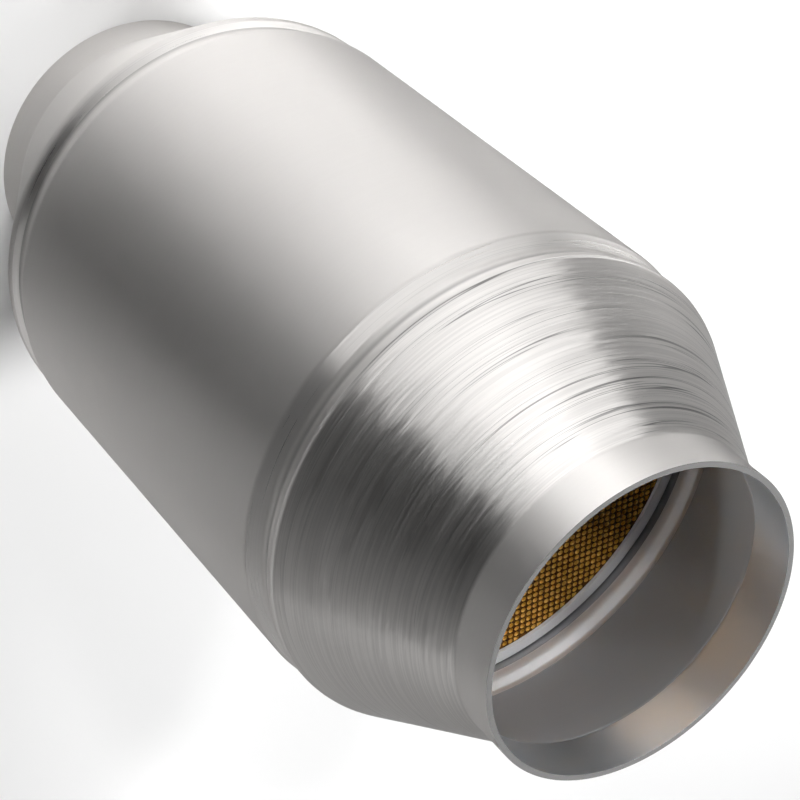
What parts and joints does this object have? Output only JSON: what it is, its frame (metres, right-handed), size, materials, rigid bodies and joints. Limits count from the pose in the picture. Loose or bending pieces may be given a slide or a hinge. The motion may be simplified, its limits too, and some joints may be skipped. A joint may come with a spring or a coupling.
{
  "type": "catalytic converter",
  "caption": "Round exhaust catalytic converter: a spun steel can with coned ends and necks round a honeycomb brick.",
  "frame": {"origin": "on the can's axis, at the plane of the lower neck's rim, which the part stands on", "axes": "+Z along the can's axis, from the lower mouth to the upper mouth, the one that the picture looks into; +X and +Y are square to it and the can is round about it"},
  "size_m": [0.1016, 0.1016, 0.201],
  "materials": {
    "can_steel": "satin stainless sheet, with fine turned lines on the cones",
    "coated_ceramic": "matt golden-brown washcoat on a ceramic honeycomb",
    "mat_fibre": "pressed ceramic-fibre mat",
    "ring_steel": "smooth pressed stainless sheet"
  },
  "bodies": {
    "root": {"shell": "can_steel", "substrate": "coated_ceramic", "support_mat": "mat_fibre", "front_end_ring": "ring_steel", "rear_end_ring": "ring_steel"}
  },
  "joints": []
}
